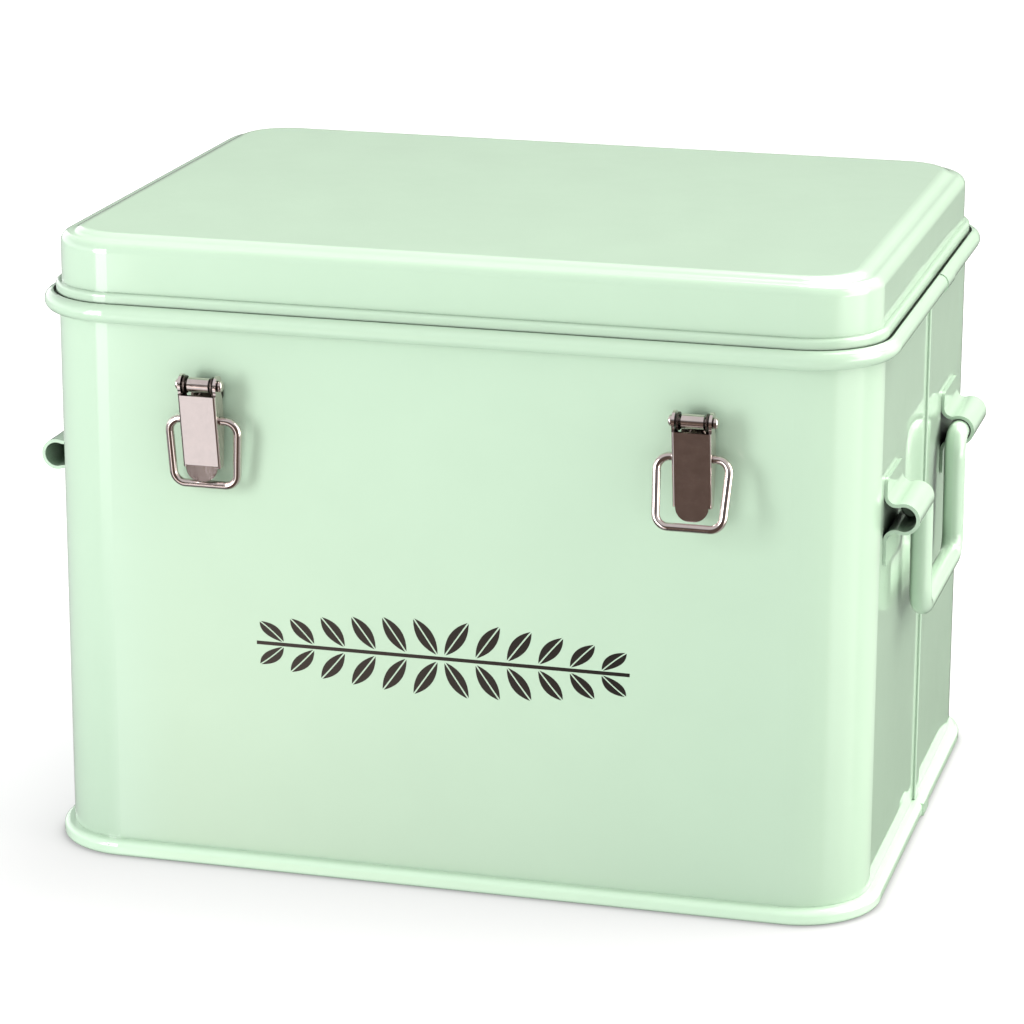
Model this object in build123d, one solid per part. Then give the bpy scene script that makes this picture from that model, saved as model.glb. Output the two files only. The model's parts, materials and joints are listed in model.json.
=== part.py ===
from build123d import *
import math
import os

# Enamelled sheet-steel storage box for seed packets: wrapped body with a
# rolled bead and neck, lift-off lid, two front toggle latches, two drop
# handles on the ends, and a divided inside with tabbed index cards.
# Millimetres. X = width, -Y = front, +Z = up, base ring on z = 0.

os.makedirs("parts", exist_ok=True)

# ---------------------------------------------------------------- dimensions
W = 240.0            # body width over the wall
D = 182.0            # body depth over the wall
R = 21.0             # outer vertical corner radius
T = 0.8              # sheet thickness
Y0 = 4.11            # body centre in Y (box of the whole object is centred on 0)

WALL_Z0 = 0.9        # wall bottom edge inside the double seam
BEAD_Z0 = 160.6      # underside of the rolled bead
BEAD_Z1 = 166.0      # crest of the rolled bead
BEAD_OUT = 4.3       # how far the bead stands out from the wall
REBATE_Z = 164.2     # ledge inside the bead crest where the lid hem sits
REBATE_OUT = 1.7
NECK_IN = 2.2        # neck set in from the wall line
NECK_Z = 177.0       # top of the neck
CURL_R = 1.0         # curled top edge of the neck

SEAM_Y = 6.0         # lock seam centre on the right-hand side (from body centre)
SEAM_W = 6.0
SEAM_H = 0.8

BASE_OUT = 3.2       # double seam ring stands out from the wall
BASE_H = 4.6         # height of the double seam ring
PAN_Z = 3.0          # underside of the base panel

LID_Z0 = 165.0       # bottom of the lid hem
HEM_OUT = 0.9
HEM_H = 3.9
LID_IN = 0.8         # lid skirt set in from the wall line
SHOULDER_Z = 183.0   # outer shoulder of the lid
LID_Z = 184.5        # flat top of the lid
SHOULDER_W = 4.6     # where the slope up to the raised top starts
SHOULDER_SLOPE = 60.0  # slope of that step, degrees from upright

DIV_H = 150.0        # top of the centre divider
DIV_FLANGE = 11.0

CARD_W = 111.0
CARD_T = 1.2
CARD_Z0 = 4.3
CARD_TOP = 140.0     # top of the card body
TAB_H = 12.0
TAB_W = 26.0
CARD_X = 60.2        # centre of each bay
CARD_YS = (-54.0, -18.0, 18.0, 54.0)

# handles, written for the right-hand end (mirrored for the left)
H_Y = -4.2           # middle of the handle, ahead of the body centre
ROD_R = 3.2
LOOP_R = 3.55        # inside radius of the strap loop
STRAP_T = 1.0
STRAP_BEND = 3.0     # bend between the flange and the loop
STRAP_IN, STRAP_OUT = 36.8, 61.8
STRAP_TOP, STRAP_BOT = 124.2, 98.9
H_AX = W / 2 + 5.7   # swing axis distance from the middle
H_AZ = 113.0         # swing axis height
H_LEG = 29.5         # half spacing of the handle legs
H_END = 48.5         # half length over the turned-out ends
H_DROP = 35.7
H_LEAN = 0.5         # degrees the hanging handle stands off the wall

# latches
L_X = {"left": -69.2, "right": 72.6}  # latch centres
L_Z = {"left": 145.8, "right": 145.5}  # hinge pin heights
L_OFF = 6.8          # hinge pin distance from the front wall
PIN_R = 1.05
LEVER_W = 11.2
LEVER_T = 0.8
LEVER_FACE = 3.6     # outside of the lever face ahead of the pin
FACE_TOP, FACE_BOT = 2.0, 23.3  # lever face below the pin
TAB_L = 4.7          # thumb tab below the face
TAB_BEND = -18.0     # thumb tab flares away from the wall
LEAN = {"left": 10.0, "right": 7.5}      # lever lean towards the wall
BAIL_LEAN = {"left": 4.0, "right": -16.0}  # bail lean, + towards the wall
WIRE_R = 1.2
BAIL_Z = -10.3       # bail pivot below the hinge pin, lever frame
BAIL_Y = -0.8
BAIL_DROP = 19.2
BAIL_DX = {"left": 0.5, "right": 0.1}  # the bails are free to slide across a little
BAIL_TOP, BAIL_BOT = 10.3, 9.3
RIVET_Z = (-5.0, -12.0)
RIVET_R = 1.5


def rr(out, z0, z1):
    """Rounded slab, `out` mm outside the wall line, from z0 to z1."""
    s = extrude(RectangleRounded(W + 2 * out, D + 2 * out, R + out), z1 - z0)
    return Pos(0, 0, z0) * s


def top_edges(s):
    return s.edges().group_by(Axis.Z)[-1]


def bottom_edges(s):
    return s.edges().group_by(Axis.Z)[0]


def save(name, shape):
    shape = Pos(0, Y0, 0) * shape
    shape.label = name
    export_step(shape, f"parts/{name}.step")
    b = shape.bounding_box()
    print(f"{name:34s} vol {shape.volume:10.1f}  "
          f"x {b.min.X:8.2f} {b.max.X:8.2f}  y {b.min.Y:8.2f} {b.max.Y:8.2f}  "
          f"z {b.min.Z:7.2f} {b.max.Z:7.2f}")
    boxes.append(b)


boxes = []

# ---------------------------------------------------------------- body shell
bead = rr(BEAD_OUT, BEAD_Z0, BEAD_Z1)
bead = fillet(top_edges(bead), 2.65)
bead = fillet(bottom_edges(bead), 2.65)
neck = rr(-NECK_IN, REBATE_Z - 1, NECK_Z)
rebate = rr(REBATE_OUT, REBATE_Z, BEAD_Z1 + 1) - rr(-NECK_IN, REBATE_Z - 1, BEAD_Z1 + 2)
outer = (rr(0, WALL_Z0, BEAD_Z0 + 3) + bead) - rebate + neck
cavity = rr(BEAD_OUT - T, BEAD_Z0 + T, REBATE_Z - T)
cavity = fillet(top_edges(cavity), 0.8)
cavity = fillet(bottom_edges(cavity), 0.8)
inner = rr(-T, -1, REBATE_Z - T) + cavity + rr(-NECK_IN - T, REBATE_Z - T - 1, NECK_Z + 5)
body = outer - inner
# curled top edge of the neck, rolled inwards
curl = rr(-NECK_IN, NECK_Z - 2 * CURL_R, NECK_Z) - rr(-NECK_IN - 2 * CURL_R, NECK_Z - 3, NECK_Z + 1)
curl = fillet(curl.edges().group_by(Axis.Z)[-1], 0.95)
curl = fillet(curl.edges().group_by(Axis.Z)[0], 0.95)
body = (body - rr(-NECK_IN + 1, NECK_Z - CURL_R, NECK_Z + 2)) + curl
# lock seam where the ends of the wrapped sheet hook together
seam = Pos(W / 2 + SEAM_H / 2 - 0.2, SEAM_Y, (BASE_H + 0.2 + BEAD_Z0 + 1.5) / 2) * Box(
    SEAM_H + 0.4, SEAM_W, BEAD_Z0 + 1.5 - BASE_H - 0.2)
seam = fillet(seam.edges().filter_by(Axis.Z).group_by(Axis.X)[-1], 0.5)
body += seam
# lapped end of the sheet where it runs through the bead
lap = rr(BEAD_OUT + 0.35, BEAD_Z0 - 0.3, BEAD_Z1 + 0.3)
lap = fillet(top_edges(lap), 2.9)
lap = fillet(bottom_edges(lap), 2.9)
lap = lap & (Pos(W / 2 + 3, SEAM_Y + 9, 164) * Box(5.5, 12, 12))
lap = lap - rr(2.0, 150, 170)
body += lap
for sname, lx in L_X.items():
    for rz in RIVET_Z:
        body -= Pos(lx, -D / 2, L_Z[sname] + rz) * Rot(90, 0, 0) * Cylinder(RIVET_R, 6)
save("body_shell", body)

# ---------------------------------------------------------------- base panel
ring = rr(BASE_OUT, 0, BASE_H)
ring = fillet(top_edges(ring), 1.7)
ring = fillet(bottom_edges(ring), 1.2)
bump = rr(BASE_OUT + 0.5, 0.4, BASE_H - 0.3) & (Pos(W / 2, SEAM_Y, 2) * Box(12, 9, 10))
bump = bump - rr(0.5, -1, 10)
base = ring + bump
base = base - rr(-2 * T, -1, PAN_Z)               # recess under the pan
base = base - rr(-T - 0.8, PAN_Z + T, BASE_H + 5)  # room above the pan
wall_slot = rr(0, WALL_Z0, BASE_H + 5) - rr(-T, WALL_Z0 - 1, BASE_H + 6)
base = base - wall_slot
base = base - (rr(-T, PAN_Z + T, BASE_H + 5))
save("base_panel", base)

# ----------------------------------------------------------------- lid shell
low = fillet(top_edges(rr(-LID_IN, LID_Z0, SHOULDER_Z)), 3.0)
def raised(inset, z0, rise):
    """Raised top of the lid: a low step with sloping sides."""
    f = RectangleRounded(W - 2 * inset, D - 2 * inset, R - inset)
    return Pos(0, 0, z0) * extrude(f, rise, taper=SHOULDER_SLOPE)


high = raised(SHOULDER_W, SHOULDER_Z, LID_Z - SHOULDER_Z)
hem = rr(HEM_OUT, LID_Z0, LID_Z0 + HEM_H)
hem = fillet(top_edges(hem), 1.0)
hem = fillet(bottom_edges(hem), 1.4)
cap = low + high
step = [e for e in cap.edges() if abs(e.center().Z - SHOULDER_Z) < 0.01
        and abs(e.bounding_box().size.Z) < 0.01 and abs(e.center().X) < W / 2 - SHOULDER_W + 0.01
        and abs(e.center().Y) < D / 2 - SHOULDER_W + 0.01]
cap = fillet(step, 4.0)
cap = fillet(top_edges(cap), 5.0)
lid = cap + hem
low_in = fillet(top_edges(rr(-LID_IN - T, LID_Z0 - 3, SHOULDER_Z - T)), 2.2)
high_in = raised(SHOULDER_W + 0.6, SHOULDER_Z - T - 0.01, LID_Z - SHOULDER_Z)
lid = lid - low_in - high_in
save("lid_shell", lid)

# ------------------------------------------------------------ centre divider
dz0 = PAN_Z + T
half = D / 2 - T
div = Pos(0, 0, (dz0 + DIV_H) / 2) * Box(T, 2 * half - 2 * T, DIV_H - dz0)
for sy in (-1, 1):
    fl = Pos(DIV_FLANGE / 2 - T / 2, sy * (half - T / 2), (dz0 + DIV_H) / 2) * Box(
        DIV_FLANGE, T, DIV_H - dz0)
    fl = fillet(fl.edges().filter_by(Axis.Y).group_by(Axis.X)[-1], 4.0)
    div += fl
# hemmed top edge
hemrod = Pos(0, 0, DIV_H) * Rot(90, 0, 0) * Cylinder(1.2, 2 * half - 24)
div += hemrod
save("divider_panel", div)

# --------------------------------------------------------------- index cards
def card(side, k):
    y = CARD_YS[k]
    body_c = Pos(0, y, (CARD_Z0 + CARD_TOP) / 2) * Box(CARD_W, CARD_T, CARD_TOP - CARD_Z0)
    body_c = fillet(body_c.edges().filter_by(Axis.Y), 3.0)
    step = (CARD_W - TAB_W - 8) / 3.0
    tx = -(CARD_W - TAB_W - 8) / 2 + step * (k if side > 0 else 3 - k)
    tab = Pos(tx, y, CARD_TOP - 2 + (TAB_H + 2) / 2) * Box(TAB_W, CARD_T, TAB_H + 2)
    tab = fillet(tab.edges().filter_by(Axis.Y).group_by(Axis.Z)[-1], 3.0)
    c = body_c + tab
    return Pos(side * CARD_X, 0, 0) * c


for side, sname in ((-1, "left"), (1, "right")):
    for k in range(4):
        save(f"index_card_{sname}_{k + 1}", card(side, k))


# ------------------------------------------------------------------- handles
def arc3(cx, cz, r, a0, a1):
    """Arc in (x, z) about (cx, cz) from angle a0 to a1 in degrees."""
    def p(a):
        return (cx + r * math.cos(math.radians(a)), cz + r * math.sin(math.radians(a)))
    return ThreePointArc(p(a0), p((a0 + a1) / 2), p(a1))


def strap_profile():
    """Omega strap: flange, rolled loop, flange, as a face in (x, z)."""
    xf = W / 2 + STRAP_T / 2
    rl = LOOP_R + STRAP_T / 2
    rc = STRAP_BEND
    gap = H_AX - xf
    dz = math.sqrt((rc + rl) ** 2 - (gap - rc) ** 2)
    fx, fz = xf + rc, H_AZ + dz
    at = math.degrees(math.atan2(fz - H_AZ, fx - H_AX))    # loop tangent point
    h = STRAP_T / 2
    edges = []

    def side(s):
        # s = +1 outer face of the sheet, -1 face towards the wall
        e = []
        e.append(Line((xf + s * h, STRAP_TOP), (xf + s * h, fz)))
        e.append(arc3(fx, fz, rc - s * h, 180, 180 + at))
        e.append(arc3(H_AX, H_AZ, rl + s * h, at, -at))
        fz2 = H_AZ - dz
        e.append(arc3(fx, fz2, rc - s * h, 180 - at, 180))
        e.append(Line((xf + s * h, fz2), (xf + s * h, STRAP_BOT)))
        return e
    edges += side(1) + side(-1)
    edges.append(Line((xf + h, STRAP_TOP), (xf - h, STRAP_TOP)))
    edges.append(Line((xf + h, STRAP_BOT), (xf - h, STRAP_BOT)))
    return make_face(Curve() + edges)


def strap(sy):
    face = strap_profile()
    s = extrude(face, STRAP_OUT - STRAP_IN)              # along local z
    # local (x, y, z) -> world (x, z, -y)
    s = Rot(90, 0, 0) * s
    s = Pos(0, STRAP_OUT if sy > 0 else -STRAP_IN, 0) * s
    ends = s.edges().filter_by(Axis.X)
    return Pos(0, H_Y, 0) * fillet(ends, 2.0)


def handle_bail():
    path = FilletPolyline((-H_END, 0), (-H_LEG, 0), (-H_LEG, -H_DROP), (H_LEG, -H_DROP),
                          (H_LEG, 0), (H_END, 0), radius=6.0)
    # path drawn in XY, put in the YZ plane
    path = Plane.YZ * path
    start = Plane(origin=(0, -H_END, 0), z_dir=(0, 1, 0))
    rod = sweep(start * Circle(ROD_R), path=path)
    caps = [e for e in rod.edges() if e.geom_type == GeomType.CIRCLE
            and abs(abs(e.center().Y) - H_END) < 0.05]
    rod = chamfer(caps, 0.5)
    rod = Rot(0, -H_LEAN, 0) * rod
    return Pos(H_AX, H_Y, H_AZ) * rod


for sname in ("right", "left"):
    flip = (lambda s: s) if sname == "right" else (lambda s: mirror(s, Plane.YZ))
    save(f"handle_{sname}_strap_front", flip(strap(-1)))
    save(f"handle_{sname}_strap_rear", flip(strap(1)))
    save(f"handle_{sname}_bail", flip(handle_bail()))


# ------------------------------------------------------------------- latches
# Latch frame: x across, y towards the wall, z up, hinge pin on the origin.
def ycyl(r, y0, y1, x=0.0, z=0.0):
    return Pos(x, (y0 + y1) / 2, z) * Rot(90, 0, 0) * Cylinder(r, y1 - y0)


def xcyl(r, x0, x1, y=0.0, z=0.0):
    return Pos((x0 + x1) / 2, y, z) * Rot(0, 90, 0) * Cylinder(r, x1 - x0)


def latch_base():
    yw = L_OFF
    p = Pos(0, yw - 0.5, -2.9) * Box(9.4, 1.0, 5.8)
    p = fillet(p.edges().filter_by(Axis.Y), 1.6)
    tongue = Pos(0, yw - 0.5, -9.6) * Box(5.8, 1.0, 11.4)
    tongue = fillet(tongue.edges().filter_by(Axis.Y).group_by(Axis.Z)[0], 2.7)
    p += tongue
    # two ears bent up from the plate around the pin
    for sx in (-1, 1):
        ear = Pos(sx * 4.05, (yw - 0.5) / 2, -1.4) * Box(0.5, yw - 0.5, 2.4)
        ear = ear + xcyl(2.55, sx * 4.05 - 0.25, sx * 4.05 + 0.25)
        p += ear
    p -= xcyl(PIN_R, -8, 8)
    for rz in RIVET_Z:
        p -= ycyl(RIVET_R, yw - 2, yw + 1, 0, rz)
    return p


def latch_rivets():
    out = []
    for rz in RIVET_Z:
        yw = L_OFF
        head = ycyl(2.5, yw - 2.1, yw - 1.0, 0, rz)
        head = fillet(head.edges().group_by(Axis.Y)[0], 0.8)
        shank = ycyl(RIVET_R, yw - 1.2, yw + T + 0.5, 0, rz)
        tail = ycyl(2.4, yw + T, yw + T + 1.0, 0, rz)
        tail = fillet(tail.edges().group_by(Axis.Y)[-1], 0.5)
        out.append(head + shank + tail)
    return Compound(children=[Solid(o.solids()[0].wrapped) for o in out])


def latch_pin():
    x1 = LEVER_W / 2 + 0.25
    p = xcyl(PIN_R, -x1 - 0.2, x1 + 0.2)
    for sx in (-1, 1):
        hd = xcyl(1.6, sx * x1 if sx > 0 else -x1 - 1.1, sx * x1 + 1.1 if sx > 0 else -x1)
        outer_e = hd.edges().group_by(Axis.X)[-1 if sx > 0 else 0]
        hd = fillet(outer_e, 0.7)
        p += hd
    return p


def latch_sleeve():
    s = xcyl(2.1, -3.1, 3.1) - xcyl(PIN_R + 0.04, -5, 5)
    return s


def latch_lever():
    w = LEVER_W / 2
    t = LEVER_T
    yf = -LEVER_FACE
    # outside shape of one side flange, in (y, z)
    fb = -FACE_BOT - 0.7
    prof = Polyline((yf, -FACE_TOP), (1.6, -FACE_TOP), (2.3, -4.5), (2.3, -12.6), (-0.9, fb),
                    (yf, fb), close=True)
    side_face = make_face(prof)
    blocks = []
    for sx in (-1, 1):
        f = Plane(origin=(sx * w if sx < 0 else w - t, 0, 0), x_dir=(0, 1, 0), z_dir=(1, 0, 0)) * side_face
        fl = extrude(f, t)
        lobe = xcyl(2.95, -w if sx < 0 else w - t, -w + t if sx < 0 else w)
        web = Pos(sx * (w - t / 2), -0.45, -1.6) * Box(t, 4.5, 4.2)
        blocks.append(fl + lobe + web)
    face = Pos(0, yf + t / 2, -(FACE_TOP + FACE_BOT) / 2) * Box(LEVER_W, t, FACE_BOT - FACE_TOP)
    lev = face + blocks[0] + blocks[1]
    # thumb tab, flared away from the wall, rounded end
    tab = Pos(0, 0, -TAB_L / 2 + 0.2) * Box(9.4, t, TAB_L + 0.4)
    tab = fillet(tab.edges().filter_by(Axis.Y).group_by(Axis.Z)[0], 4.1)
    tab = Pos(0, yf + t / 2 + 0.15, -FACE_BOT) * Rot(TAB_BEND, 0, 0) * tab
    lev += tab
    lev -= xcyl(PIN_R + 0.05, -9, 9)
    lev -= xcyl(WIRE_R + 0.05, -9, 9, BAIL_Y, BAIL_Z)
    long_e = [e for e in lev.edges().filter_by(Axis.Z)
              if abs(abs(e.center().X) - w) < 0.01 and abs(e.center().Y - yf) < 0.01]
    return fillet(long_e, 0.7)


def latch_bail():
    path = FilletPolyline((-3.7, 0), (-BAIL_TOP, 0), (-BAIL_BOT, -BAIL_DROP),
                          (BAIL_BOT, -BAIL_DROP), (BAIL_TOP, 0), (3.7, 0), radius=3.6)
    path = Plane.XZ * path
    start = Plane(origin=(-3.7, 0, 0), z_dir=(-1, 0, 0))
    b = sweep(start * Circle(WIRE_R), path=path)
    return b


for sname in ("left", "right"):
    here = Pos(L_X[sname], -D / 2 - L_OFF, L_Z[sname])
    save(f"latch_{sname}_base_plate", here * latch_base())
    rv = latch_rivets()
    save(f"latch_{sname}_rivets", here * rv)
    save(f"latch_{sname}_hinge_pin", here * latch_pin())
    save(f"latch_{sname}_spacer_sleeve", here * latch_sleeve())
    lean = LEAN[sname]
    save(f"latch_{sname}_lever", here * Rot(lean, 0, 0) * latch_lever())
    turn = BAIL_LEAN[sname] - lean
    save(f"latch_{sname}_wire_bail",
         here * Rot(lean, 0, 0) * Pos(BAIL_DX[sname], BAIL_Y, BAIL_Z) * Rot(turn, 0, 0) * latch_bail())

lo = [min(getattr(b.min, a) for b in boxes) for a in "XYZ"]
hi = [max(getattr(b.max, a) for b in boxes) for a in "XYZ"]
print("whole object", [round(v, 3) for v in lo], [round(v, 3) for v in hi],
      "centre y", round((lo[1] + hi[1]) / 2, 3))
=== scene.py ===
import json
import math

import bpy
import bmesh
from mathutils import Matrix, Vector

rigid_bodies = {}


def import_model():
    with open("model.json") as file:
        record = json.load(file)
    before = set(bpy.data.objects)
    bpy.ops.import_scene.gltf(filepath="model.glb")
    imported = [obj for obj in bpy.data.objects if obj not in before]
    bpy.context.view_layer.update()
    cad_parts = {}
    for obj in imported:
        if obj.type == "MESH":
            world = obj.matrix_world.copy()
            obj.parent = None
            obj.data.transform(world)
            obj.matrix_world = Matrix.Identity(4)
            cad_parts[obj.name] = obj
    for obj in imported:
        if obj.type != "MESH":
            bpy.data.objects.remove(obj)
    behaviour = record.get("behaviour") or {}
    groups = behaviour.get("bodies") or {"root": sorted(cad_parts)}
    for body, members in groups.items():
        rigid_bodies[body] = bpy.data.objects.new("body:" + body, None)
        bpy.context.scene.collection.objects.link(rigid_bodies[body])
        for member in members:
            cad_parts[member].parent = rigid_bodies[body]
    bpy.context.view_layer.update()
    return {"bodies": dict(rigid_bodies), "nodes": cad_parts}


# Enamelled sheet-steel storage box for seed packets. Looks, floor, light and camera
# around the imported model. Metres, +Z up, front towards -Y.

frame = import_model()
scene = bpy.context.scene
nodes = frame["nodes"]
bodies = frame["bodies"]


# ------------------------------------------------------------------ camera
CAM_AZ, CAM_EL, CAM_ROLL = 0.264962, 0.285240, 0.0027127   # radians
CAM_DIST, CAM_TX, CAM_TZ = 4.907433 * 0.24, -0.019597 * 0.24, 0.360918 * 0.24
CAM_LENS = 136.47                                            # 36 mm sensor
BODY_Y = 0.00411                                             # body centre

back = Vector((math.sin(CAM_AZ) * math.cos(CAM_EL), -math.cos(CAM_AZ) * math.cos(CAM_EL), math.sin(CAM_EL)))
right = (-back).cross(Vector((0, 0, 1))).normalized()
up = right.cross(-back)
place = right * CAM_TX + Vector((0, 0, CAM_TZ)) + back * CAM_DIST + Vector((0, BODY_Y, 0))
right2 = right * math.cos(CAM_ROLL) + up * math.sin(CAM_ROLL)
up2 = up * math.cos(CAM_ROLL) - right * math.sin(CAM_ROLL)
cam_data = bpy.data.cameras.new("camera")
cam_data.lens = CAM_LENS
cam_data.sensor_width = 36.0
cam_data.clip_start, cam_data.clip_end = 0.05, 60.0
cam = bpy.data.objects.new("camera", cam_data)
scene.collection.objects.link(cam)
cam.matrix_world = Matrix((
    (right2.x, up2.x, back.x, place.x),
    (right2.y, up2.y, back.y, place.y),
    (right2.z, up2.z, back.z, place.z),
    (0, 0, 0, 1)))
scene.camera = cam


# ------------------------------------------------------------------ node helper
class Net:
    """Small helper that adds shader nodes and links them."""

    def __init__(self, tree):
        self.t = tree
        self.n = tree.nodes
        self.l = tree.links

    def add(self, kind, **props):
        node = self.n.new(kind)
        for k, v in props.items():
            setattr(node, k, v)
        return node

    def put(self, socket, value):
        if isinstance(value, bpy.types.NodeSocket):
            self.l.new(value, socket)
        else:
            socket.default_value = value

    def math(self, op, a, b=None, clamp=False):
        node = self.add("ShaderNodeMath", operation=op, use_clamp=clamp)
        self.put(node.inputs[0], a)
        if b is not None:
            self.put(node.inputs[1], b)
        return node.outputs[0]

    def step(self, x, a, b, lo=0.0, hi=1.0):
        """Smooth step of x from a to b, from lo to hi."""
        node = self.add("ShaderNodeMapRange", interpolation_type="SMOOTHSTEP")
        self.put(node.inputs["Value"], x)
        node.inputs["From Min"].default_value = a
        node.inputs["From Max"].default_value = b
        node.inputs["To Min"].default_value = lo
        node.inputs["To Max"].default_value = hi
        return node.outputs[0]

    def line(self, x, a, b, lo=0.0, hi=1.0):
        node = self.add("ShaderNodeMapRange", interpolation_type="LINEAR", clamp=True)
        self.put(node.inputs["Value"], x)
        node.inputs["From Min"].default_value = a
        node.inputs["From Max"].default_value = b
        node.inputs["To Min"].default_value = lo
        node.inputs["To Max"].default_value = hi
        return node.outputs[0]

    def band(self, x, a, b, soft):
        """1 between a and b, falling to 0 outside over twice soft."""
        return self.math("MULTIPLY", self.step(x, a - soft, a + soft), self.step(x, b - soft, b + soft, 1.0, 0.0))

    def noise(self, vector, scale, detail=2.0, rough=0.5, dist=0.0):
        node = self.add("ShaderNodeTexNoise")
        self.l.new(vector, node.inputs["Vector"])
        node.inputs["Scale"].default_value = scale
        node.inputs["Detail"].default_value = detail
        node.inputs["Roughness"].default_value = rough
        node.inputs["Distortion"].default_value = dist
        return node.outputs["Fac"]

    def stretch(self, vector, scale):
        node = self.add("ShaderNodeMapping")
        self.l.new(vector, node.inputs["Vector"])
        node.inputs["Scale"].default_value = scale
        return node.outputs["Vector"]

    def mix(self, fac, a, b):
        node = self.add("ShaderNodeMix", data_type="RGBA")
        self.put(node.inputs["Factor"], fac)
        self.put(node.inputs["A"], a)
        self.put(node.inputs["B"], b)
        return node.outputs["Result"]

    def bump(self, height, distance, strength=1.0, normal=None):
        node = self.add("ShaderNodeBump")
        node.inputs["Strength"].default_value = strength
        node.inputs["Distance"].default_value = distance
        self.l.new(height, node.inputs["Height"])
        if normal is not None:
            self.l.new(normal, node.inputs["Normal"])
        return node.outputs["Normal"]


def new_material(name):
    m = bpy.data.materials.new(name)
    m.use_nodes = True
    m.node_tree.nodes.clear()
    net = Net(m.node_tree)
    out = net.add("ShaderNodeOutputMaterial")
    sh = net.add("ShaderNodeBsdfPrincipled")
    net.l.new(sh.outputs[0], out.inputs["Surface"])
    where = net.add("ShaderNodeTexCoord").outputs["Object"]
    return m, net, sh, where


# ------------------------------------------------------------------ materials
ENAMEL = (0.369, 0.491, 0.377)


def tint(c, k, a=1.0):
    return (c[0] * k, c[1] * k, c[2] * k, a)


SPRIG_X, SPRIG_Z, SPRIG_HALF = -0.0009, 0.0690, 0.055   # middle and half length


def sprig(net, where):
    """1 inside a garland of leaves on a stem, printed on the front wall."""
    sep = net.add("ShaderNodeSeparateXYZ")
    net.l.new(where, sep.inputs[0])
    x = net.math("ABSOLUTE", net.math("SUBTRACT", sep.outputs[0], SPRIG_X))
    z = net.math("ABSOLUTE", net.math("SUBTRACT", sep.outputs[2], SPRIG_Z))
    run = net.math("DIVIDE", x, SPRIG_HALF)
    grow = net.math("SUBTRACT", 1.0, net.math("MULTIPLY", net.math("POWER", run, 2.0), 0.45))
    pitch = SPRIG_HALF / 6.0
    cell = net.math("SUBTRACT", net.math("MODULO", x, pitch), pitch * 0.5)
    zz = net.math("DIVIDE", z, grow)
    # leaf leaning outwards, pointed at both ends
    c, n = math.cos(math.radians(56.0)), math.sin(math.radians(56.0))
    along = net.math("ADD", net.math("MULTIPLY", cell, c), net.math("MULTIPLY", net.math("SUBTRACT", zz, 0.0062), n))
    across = net.math("ABSOLUTE", net.math("SUBTRACT", net.math("MULTIPLY", net.math("SUBTRACT", zz, 0.0062), c), net.math("MULTIPLY", cell, n)))
    wide = net.math("SUBTRACT", 0.0023, net.math("MULTIPLY", net.math("POWER", along, 2.0), 0.0023 / 0.0064 ** 2))
    leaf = net.step(net.math("SUBTRACT", wide, across), -0.00004, 0.00004)
    vein = net.step(across, 0.00016, 0.00024)
    leaf = net.math("MULTIPLY", leaf, vein)
    stem = net.step(net.math("SUBTRACT", 0.00055, z), -0.00004, 0.00004)
    both = net.math("MAXIMUM", leaf, stem)
    ends = net.step(x, SPRIG_HALF - 0.0001, SPRIG_HALF, 1.0, 0.0)
    front = net.step(sep.outputs[1], BODY_Y - 0.0900, BODY_Y - 0.0896, 1.0, 0.0)
    return net.math("MULTIPLY", both, net.math("MULTIPLY", ends, front))


def enamel_material(name, colour, painted_shade_lo, painted_shade_hi, printed=False):
    """Gloss stoving enamel on sheet steel: a trace of uneven film thickness, and painted shade in tight creases and
    hollows: an ambient occlusion mask darkens the colour nearly to black and thins the coat there."""
    m, net, sh, where = new_material(name)
    slow = net.noise(where, 16.0, 2.0, 0.5)
    cloud = net.noise(where, 60.0, 3.0, 0.55)
    shade = net.math("ADD", net.line(slow, 0.3, 0.7, -0.5, 0.5), net.line(cloud, 0.3, 0.7, -0.35, 0.35))
    paint = net.mix(net.line(shade, -0.85, 0.85), tint(colour, 0.985), tint(colour, 1.015))
    if printed:
        paint = net.mix(sprig(net, where), paint, (0.004, 0.0045, 0.004, 1.0))
    # painted shade: where the ambient occlusion is low, the colour goes nearly black and the coat gets thinner
    painted_shade_ao = net.add("ShaderNodeAmbientOcclusion", samples=6)
    painted_shade_ao.inputs["Distance"].default_value = 0.009
    unshaded = net.step(painted_shade_ao.outputs["AO"], painted_shade_lo, painted_shade_hi)
    net.put(sh.inputs["Base Color"], net.mix(unshaded, (0.020, 0.032, 0.018, 1.0), paint))
    net.put(sh.inputs["Coat Weight"], net.line(unshaded, 0.0, 0.6, 0.25, 1.0))
    net.put(sh.inputs["Roughness"], net.line(cloud, 0.25, 0.75, 0.30, 0.38))
    sh.inputs["Specular IOR Level"].default_value = 0.12
    sh.inputs["Coat Roughness"].default_value = 0.025
    sh.inputs["Coat IOR"].default_value = 1.5
    return m


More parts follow.
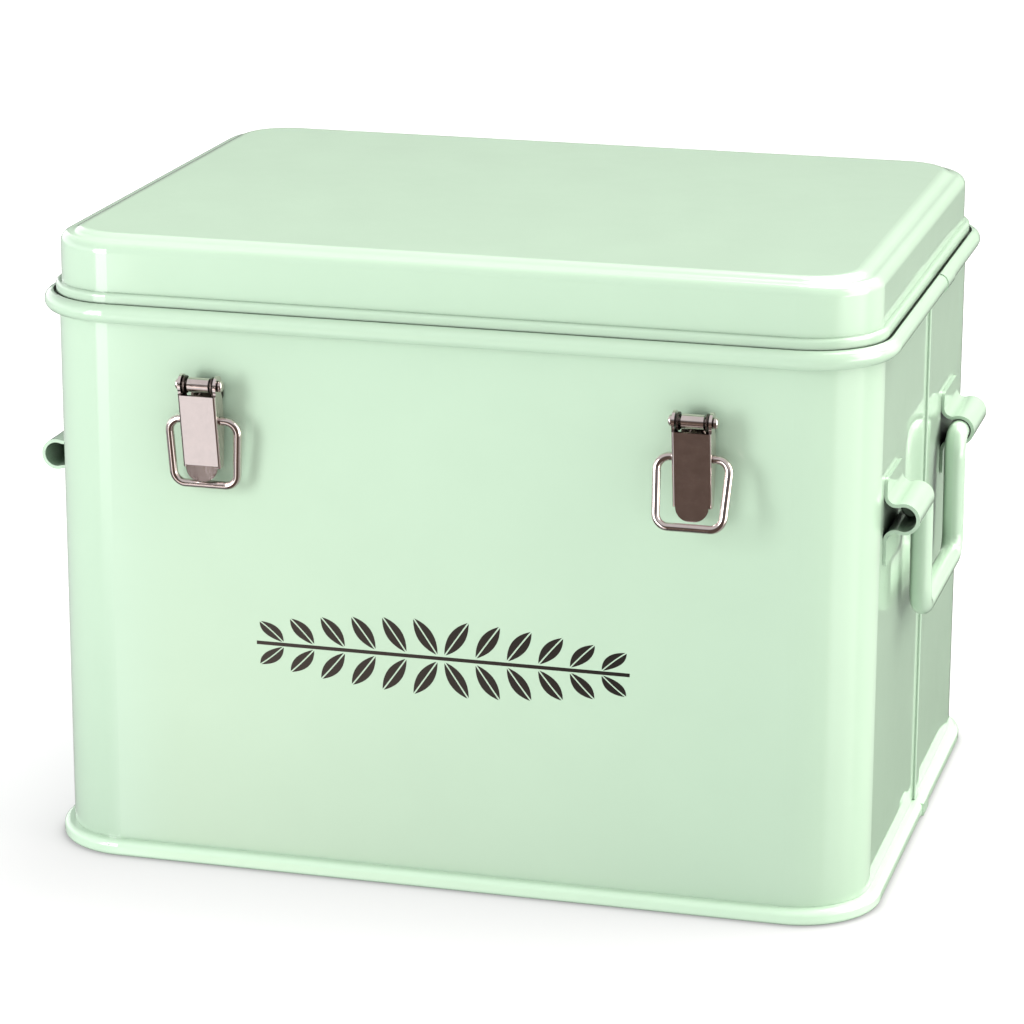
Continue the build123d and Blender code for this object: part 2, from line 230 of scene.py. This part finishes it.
def nickel_material(name, colour, grain_axis, rough=0.14):
    """Bright nickel plate over rolled strip: fine lines along the strip, and painted shade that darkens the colour in
    tight hollows.
    """
    m, net, sh, where = new_material(name)
    squeeze = {"X": (0.05, 1.0, 1.0), "Z": (1.0, 1.0, 0.05), "N": (1.0, 1.0, 1.0)}[grain_axis]
    lines = net.noise(net.stretch(where, squeeze), 4200.0, 3.0, 0.6)
    smear = net.noise(where, 260.0, 3.0, 0.6)
    plate = net.mix(net.line(smear, 0.3, 0.7), tint(colour, 0.95), tint(colour, 1.04))
    # painted shade: the colour goes nearly black where the ambient occlusion is low
    painted_shade_ao = net.add("ShaderNodeAmbientOcclusion", samples=6)
    painted_shade_ao.inputs["Distance"].default_value = 0.0035
    net.put(sh.inputs["Base Color"], net.mix(net.step(painted_shade_ao.outputs["AO"], 0.10, 0.60), (0.035, 0.022, 0.018, 1.0), plate))
    net.put(sh.inputs["Roughness"], net.math("ADD", net.line(lines, 0.3, 0.7, -0.02, 0.03), net.line(smear, 0.3, 0.7, rough - 0.015, rough + 0.02)))
    net.l.new(net.bump(lines, 0.0000007), sh.inputs["Normal"])
    sh.inputs["Metallic"].default_value = 1.0
    return m


def card_material(name, colour):
    """Uncoated manila card: pale fibres, flecks and a faint mottle."""
    m, net, sh, where = new_material(name)
    mottle = net.noise(where, 55.0, 4.0, 0.6)
    fibre = net.noise(net.stretch(where, (1.0, 1.0, 0.25)), 1500.0, 3.0, 0.7)
    fleck = net.noise(where, 700.0, 1.0, 0.4)
    base = net.mix(net.line(mottle, 0.3, 0.7), tint(colour, 0.95), tint(colour, 1.04))
    base = net.mix(net.line(fibre, 0.35, 0.75, 0.0, 0.35), base, tint((0.72, 0.58, 0.38), 1.0))
    base = net.mix(net.step(fleck, 0.70, 0.76, 0.0, 0.5), base, tint((0.33, 0.23, 0.13), 1.0))
    net.put(sh.inputs["Base Color"], base)
    net.put(sh.inputs["Roughness"], net.line(fibre, 0.3, 0.7, 0.72, 0.88))
    net.l.new(net.bump(fibre, 0.00003), sh.inputs["Normal"])
    sh.inputs["Specular IOR Level"].default_value = 0.3
    return m


enamel = enamel_material("enamel_gloss", ENAMEL, 0.08, 0.52)
enamel_body = enamel_material("enamel_body", ENAMEL, 0.08, 0.50, True)
# painted light: the foot ring gets the body enamel 1.30 times lighter, standing in for light from the floor, with a
# weaker painted shade range
enamel_foot_painted_light = enamel_material("enamel_foot_painted_light", tint(ENAMEL, 1.30)[:3], -0.25, 0.30)
nickel_strip = nickel_material("nickel_strip", (0.76, 0.665, 0.645), "Z", 0.085)
nickel_round = nickel_material("nickel_round", (0.70, 0.61, 0.59), "X", 0.085)
# painted shade: base plates and rivets get a far darker copy of the nickel, so the hollow behind each lever reads
# dark
nickel_painted_shade = nickel_material("nickel_painted_shade", (0.12, 0.095, 0.085), "Z", 0.22)
nickel_wire = nickel_material("nickel_wire", (0.66, 0.575, 0.555), "N", 0.09)
card = card_material("card_manila", (0.70, 0.60, 0.42))


def dress(name, material):
    o = nodes[name]
    if not o.data.materials:
        o.data.materials.append(material)
    for i in range(len(o.data.materials)):
        o.data.materials[i] = material


for name in nodes:
    if name.startswith("index_card"):
        dress(name, card)
    elif name == "body_shell":
        dress(name, enamel_body)
    elif name == "base_panel":
        dress(name, enamel_foot_painted_light)
    elif name.endswith("wire_bail"):
        dress(name, nickel_wire)
    elif name.endswith(("hinge_pin", "spacer_sleeve")):
        dress(name, nickel_round)
    elif name.endswith(("base_plate", "rivets")):
        dress(name, nickel_painted_shade)
    elif name.endswith("lever"):
        dress(name, nickel_strip)
    else:
        dress(name, enamel)


# ------------------------------------------------------------------ floor
FOOT = (0.1232, 0.0942, 0.0242)      # half width, half depth, corner radius
PAINTED_CONTACT_SHADOW = (0.34, 0.08)
FLOOR_ALBEDO, FLOOR_GLOW, FLOOR_FAR = 0.22, 0.70, 0.98


def floor_material():
    m, net, sh, where = new_material("floor_paper")
    # distance from the rounded footprint of the box, for a contact shadow painted into the floor's colour and glow
    sep = net.add("ShaderNodeSeparateXYZ")
    net.l.new(where, sep.inputs[0])
    fx = net.math("SUBTRACT", net.math("ABSOLUTE", sep.outputs[0]), FOOT[0] - FOOT[2])
    fy = net.math("SUBTRACT", net.math("ABSOLUTE", net.math("SUBTRACT", sep.outputs[1], BODY_Y)), FOOT[1] - FOOT[2])
    px = net.math("POWER", net.math("MAXIMUM", fx, 0.0), 2.0)
    py = net.math("POWER", net.math("MAXIMUM", fy, 0.0), 2.0)
    far = net.math("MAXIMUM", net.math("SUBTRACT", net.math("SQRT", net.math("ADD", px, py)), FOOT[2]), 0.0)
    near = net.math("MULTIPLY", net.math("EXPONENT", net.math("MULTIPLY", far, -1.0 / 0.0013)), PAINTED_CONTACT_SHADOW[0])
    wide = net.math("MULTIPLY", net.math("EXPONENT", net.math("MULTIPLY", far, -1.0 / 0.014)), PAINTED_CONTACT_SHADOW[1])
    keep = net.math("SUBTRACT", net.math("SUBTRACT", 1.0, near), wide)
    soft = net.noise(where, 3.0, 3.0, 0.5)
    # faint paper grain times the painted contact shadow
    grain_and_painted_shadow = net.math("MULTIPLY", net.line(soft, 0.3, 0.7, 0.99, 1.01), keep)
    tone = net.add("ShaderNodeCombineXYZ")
    for k in range(3):
        net.put(tone.inputs[k], net.math("MULTIPLY", grain_and_painted_shadow, FLOOR_ALBEDO))
    net.put(sh.inputs["Base Color"], tone.outputs[0])
    sh.inputs["Emission Color"].default_value = (1.0, 1.0, 1.0, 1.0)
    # painted shade: the glow is lower near the box than far from it, and is also darkened by the painted contact
    # shadow
    net.put(sh.inputs["Emission Strength"], net.math("MULTIPLY", keep, net.step(far, 0.02, 0.20, FLOOR_GLOW, FLOOR_FAR)))
    sh.inputs["Roughness"].default_value = 1.0
    sh.inputs["Specular IOR Level"].default_value = 0.0
    return m


def footprint(out, n=14):
    """Loop around the footprint, `out` metres outside it."""
    rad = max(FOOT[2] + out, 0.002)
    hx, hy = FOOT[0] + out - rad, FOOT[1] + out - rad
    pts = []
    for k, (sx, sy) in enumerate(((1, 1), (-1, 1), (-1, -1), (1, -1))):
        for i in range(n):
            t = math.pi / 2 * (k + i / (n - 1))
            pts.append((sx * hx + rad * math.cos(t), BODY_Y + sy * hy + rad * math.sin(t), 0.0))
    return pts


def floor_piece(name, offsets, closed):
    me = bpy.data.meshes.new(name)
    bm = bmesh.new()
    last = None
    for out in offsets:
        ring = [bm.verts.new(p) for p in footprint(out)]
        if last is None:
            if closed:
                bm.faces.new(ring)
        else:
            for k in range(len(ring)):
                j = (k + 1) % len(ring)
                bm.faces.new((last[k], ring[k], ring[j], last[j]))
        last = ring
    bm.to_mesh(me)
    bm.free()
    o = bpy.data.objects.new(name, me)
    scene.collection.objects.link(o)
    me.materials.append(paper)
    return o


paper = floor_material()
floor_near = floor_piece("floor_near", (-0.06, -0.03, -0.01, 0.0, 0.002, 0.006, 0.012, 0.020), True)
floor_far = floor_piece("floor_far", (0.020, 0.04, 0.08, 0.16, 0.32, 0.64, 1.3, 2.6, 5.0, 8.0), False)
floor_near.visible_glossy = False
floor_far.visible_glossy = False


# ------------------------------------------------------------------ studio light
# The studio is a ring of large panels, given as brightness over direction.
# az: 0 in front of the box (-Y), + towards +X; el: above the horizon. Degrees.
world = bpy.data.worlds.new("studio")
scene.world = world
world.use_nodes = True
world.node_tree.nodes.clear()
net = Net(world.node_tree)
out = net.add("ShaderNodeOutputWorld")
bg = net.add("ShaderNodeBackground")
net.l.new(bg.outputs[0], out.inputs["Surface"])
direction = net.add("ShaderNodeTexCoord").outputs["Generated"]
sep = net.add("ShaderNodeSeparateXYZ")
net.l.new(direction, sep.inputs[0])
dx, dy, dz = sep.outputs
az = net.math("MULTIPLY", net.math("ARCTAN2", dx, net.math("MULTIPLY", dy, -1.0)), 180 / math.pi)
el = net.math("MULTIPLY", net.math("ARCSINE", dz), 180 / math.pi)

LEFT, RIGHT, BACK, FRONT = 1.8, 1.6, 0.22, 0.13
SKY, ROOF = 0.75, 8.6
KEY_L, KEY_R = 7.0, 4.7
w_left = net.band(az, -150.0, -24.0, 1.0)
w_right = net.band(az, 52.0, 150.0, 10.0)
w_back = net.math("SUBTRACT", 1.0, net.band(az, -150.0, 150.0, 10.0))
w_front = net.math("SUBTRACT", 1.0, net.math("ADD", net.math("ADD", w_left, w_right), w_back), clamp=True)


def total(*parts):
    out = parts[0]
    for p in parts[1:]:
        out = net.math("ADD", out, p)
    return out


def times(a, b):
    return net.math("MULTIPLY", a, b)


# above the horizon: what lights the box
walls = total(times(w_left, LEFT), times(w_right, RIGHT), times(w_back, BACK), times(w_front, FRONT))
high = net.step(el, 12.0, 32.0)
toward = total(times(dx, 0.32), times(dy, 0.56), times(dz, 0.766))
roof = net.step(toward, 0.84, 0.93)
sky = net.line(roof, 0.0, 1.0, SKY, ROOF)
upper = total(times(walls, net.math("SUBTRACT", 1.0, high)), times(high, sky),
              times(times(net.band(az, 72.0, 112.0, 3.0), net.step(el, 45.0, 55.0, 1.0, 0.0)), KEY_R))
# below the horizon: only seen in the gloss of the box, as the floor has none itself
w_mid = net.band(az, 100.0, 165.0, 9.0)
w_rear = net.math("SUBTRACT", 1.0, net.band(az, -150.0, 165.0, 9.0), clamp=True)
w_side = net.band(az, -150.0, -20.9, 0.5)
w_mid2 = net.band(az, 52.0, 100.0, 6.0)
w_dark = net.band(az, -20.8, 52.0, 0.6)
near_top = net.step(el, -23.0, -18.0)
lower = total(times(w_side, net.line(el, -26.0, -18.0, 0.12, 0.55)), times(w_mid2, net.line(near_top, 0.0, 1.0, 0.5, 1.8)),
              times(w_mid, net.line(near_top, 0.0, 1.0, 0.3, 0.62)),
              times(w_rear, net.line(el, -21.0, -12.0, 0.02, 0.16)), times(w_dark, FRONT),
              times(times(net.band(az, -41.0, -20.9, 0.5), times(net.step(el, -18.0, -26.0), net.step(el, -54.0, -46.0))), 0.93),
              times(times(net.band(az, -41.0, -21.5, 1.0), net.step(el, -19.0, -8.0)), KEY_L),
              times(times(net.band(az, 62.0, 107.0, 3.0), net.step(el, -15.5, -7.0)), KEY_R * 1.2),
              times(times(net.line(az, -12.0, -20.0), net.line(az, -34.0, -24.0)), times(net.line(el, -14.0, -19.0), net.line(el, -27.0, -23.0, 0.0, 1.6))))
below = net.step(el, -1.0, 0.0, 1.0, 0.0)
light = total(times(upper, net.math("SUBTRACT", 1.0, below)), times(lower, below))
net.l.new(light, bg.inputs["Strength"])
tinted = net.mix(net.band(az, 52.0, 165.0, 6.0), (1.0, 1.0, 1.0, 1.0), (1.0, 1.0, 0.94, 1.0))
net.put(bg.inputs["Color"], net.mix(times(w_dark, net.step(el, 6.0, 14.0, 1.0, 0.0)), tinted, (1.0, 0.75, 0.62, 1.0)))
world.cycles.sampling_method = "MANUAL"
world.cycles.sample_map_resolution = 1024

def soft_box(name, az_deg, distance, low, top, width, radiance, in_gloss):
    """Upright rectangular light facing the box, from height low to top."""
    lamp = bpy.data.lights.new(name, "AREA")
    lamp.shape = "RECTANGLE"
    lamp.size, lamp.size_y = width, top - low
    lamp.energy = radiance * math.pi * width * (top - low)
    o = bpy.data.objects.new(name, lamp)
    scene.collection.objects.link(o)
    t = math.radians(az_deg)
    away = Vector((math.sin(t), -math.cos(t), 0.0))
    side = Vector((0, 0, 1)).cross(away)
    spot = away * distance + Vector((0, 0, (low + top) / 2))
    o.matrix_world = Matrix((
        (side.x, 0.0, away.x, spot.x),
        (side.y, 0.0, away.y, spot.y),
        (side.z, 1.0, away.z, spot.z),
        (0, 0, 0, 1)))
    o.visible_glossy = in_gloss


soft_box("strip", -36.0, 0.90, 0.02, 0.60, 0.24, 11.5, True)
soft_box("fill", 16.0, 0.80, 0.02, 0.24, 0.80, 2.3, False)

scene.view_settings.view_transform = "Standard"
scene.view_settings.look = "None"
scene.view_settings.exposure = 0.0
scene.view_settings.gamma = 1.0
